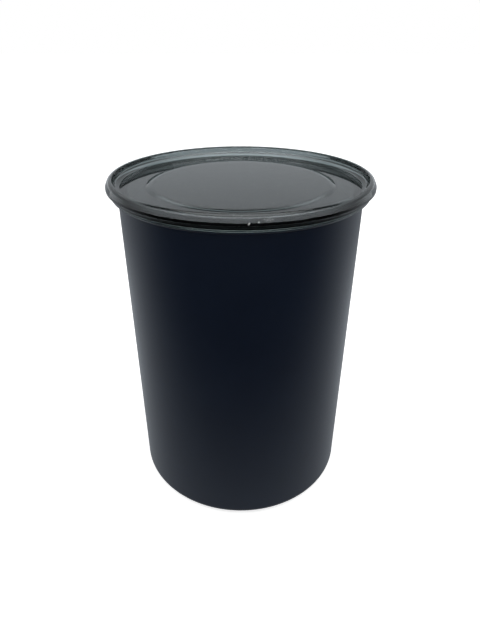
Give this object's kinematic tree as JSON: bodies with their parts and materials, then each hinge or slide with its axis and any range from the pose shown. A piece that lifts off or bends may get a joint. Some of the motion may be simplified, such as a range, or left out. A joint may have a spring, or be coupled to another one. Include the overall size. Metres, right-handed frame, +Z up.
{
  "type": "coffee canister with valve",
  "caption": "Round steel coffee canister with a tinted press-on lid over a sliding inner lid, whose folding handle works an air valve.",
  "frame": {"origin": "centre of the base, on the surface that the canister stands on", "axes": "+Z up along the canister's axis, -Y towards the viewer in the picture, where the handle lies folded"},
  "size_m": [0.136, 0.136, 0.1837],
  "materials": {
    "coated_steel": "matt black powder coat, fine even grain",
    "smoke_lid": "smoke-tinted clear plastic, injection moulded, glossy",
    "lid_silicone": "translucent silicone, satin",
    "black_plastic": "black polypropylene, lightly spark-eroded",
    "gasket_silicone": "black silicone, satin",
    "valve_plastic": "natural acetal, smooth",
    "stainless_wire": "drawn stainless wire, polished",
    "stainless_fastener": "stainless screws, as headed"
  },
  "bodies": {
    "canister": {"canister_shell": "coated_steel"},
    "outer_cover": {"outer_lid": "smoke_lid", "lid_seal": "gasket_silicone"},
    "inner_lid": {"inner_lid_deck": "black_plastic", "inner_lid_base": "black_plastic", "wiper_gasket": "gasket_silicone", "valve_housing": "black_plastic", "housing_screws": "stainless_fastener", "valve_spring": "stainless_wire"},
    "handle": {"bail_handle": "stainless_wire", "valve_cam": "valve_plastic"},
    "valve": {"valve_poppet": "valve_plastic", "valve_seal_disc": "lid_silicone"}
  },
  "joints": [
    {"name": "outer_lid_lift", "type": "slide", "parent": "canister", "child": "outer_cover", "axis": [0, 0, 1], "range_m": [0, 0.06]},
    {"name": "inner_lid_slide", "type": "slide", "parent": "canister", "child": "inner_lid", "axis": [0, 0, 1], "range_m": [-0.095, 0]},
    {"name": "handle_swing", "type": "hinge", "parent": "inner_lid", "child": "handle", "pos_m": [0, 0, 0.12629], "axis": [-1, 0, 0], "range_deg": [0, 90]},
    {"name": "valve_open", "type": "slide", "parent": "inner_lid", "child": "valve", "axis": [0, 0, 1], "range_m": [0, 0.003], "deforming": ["valve_spring"]}
  ],
  "couplings": [
    {"joint": "valve_open", "follows": "handle_swing", "m_per_rad": 0.0019099}
  ]
}
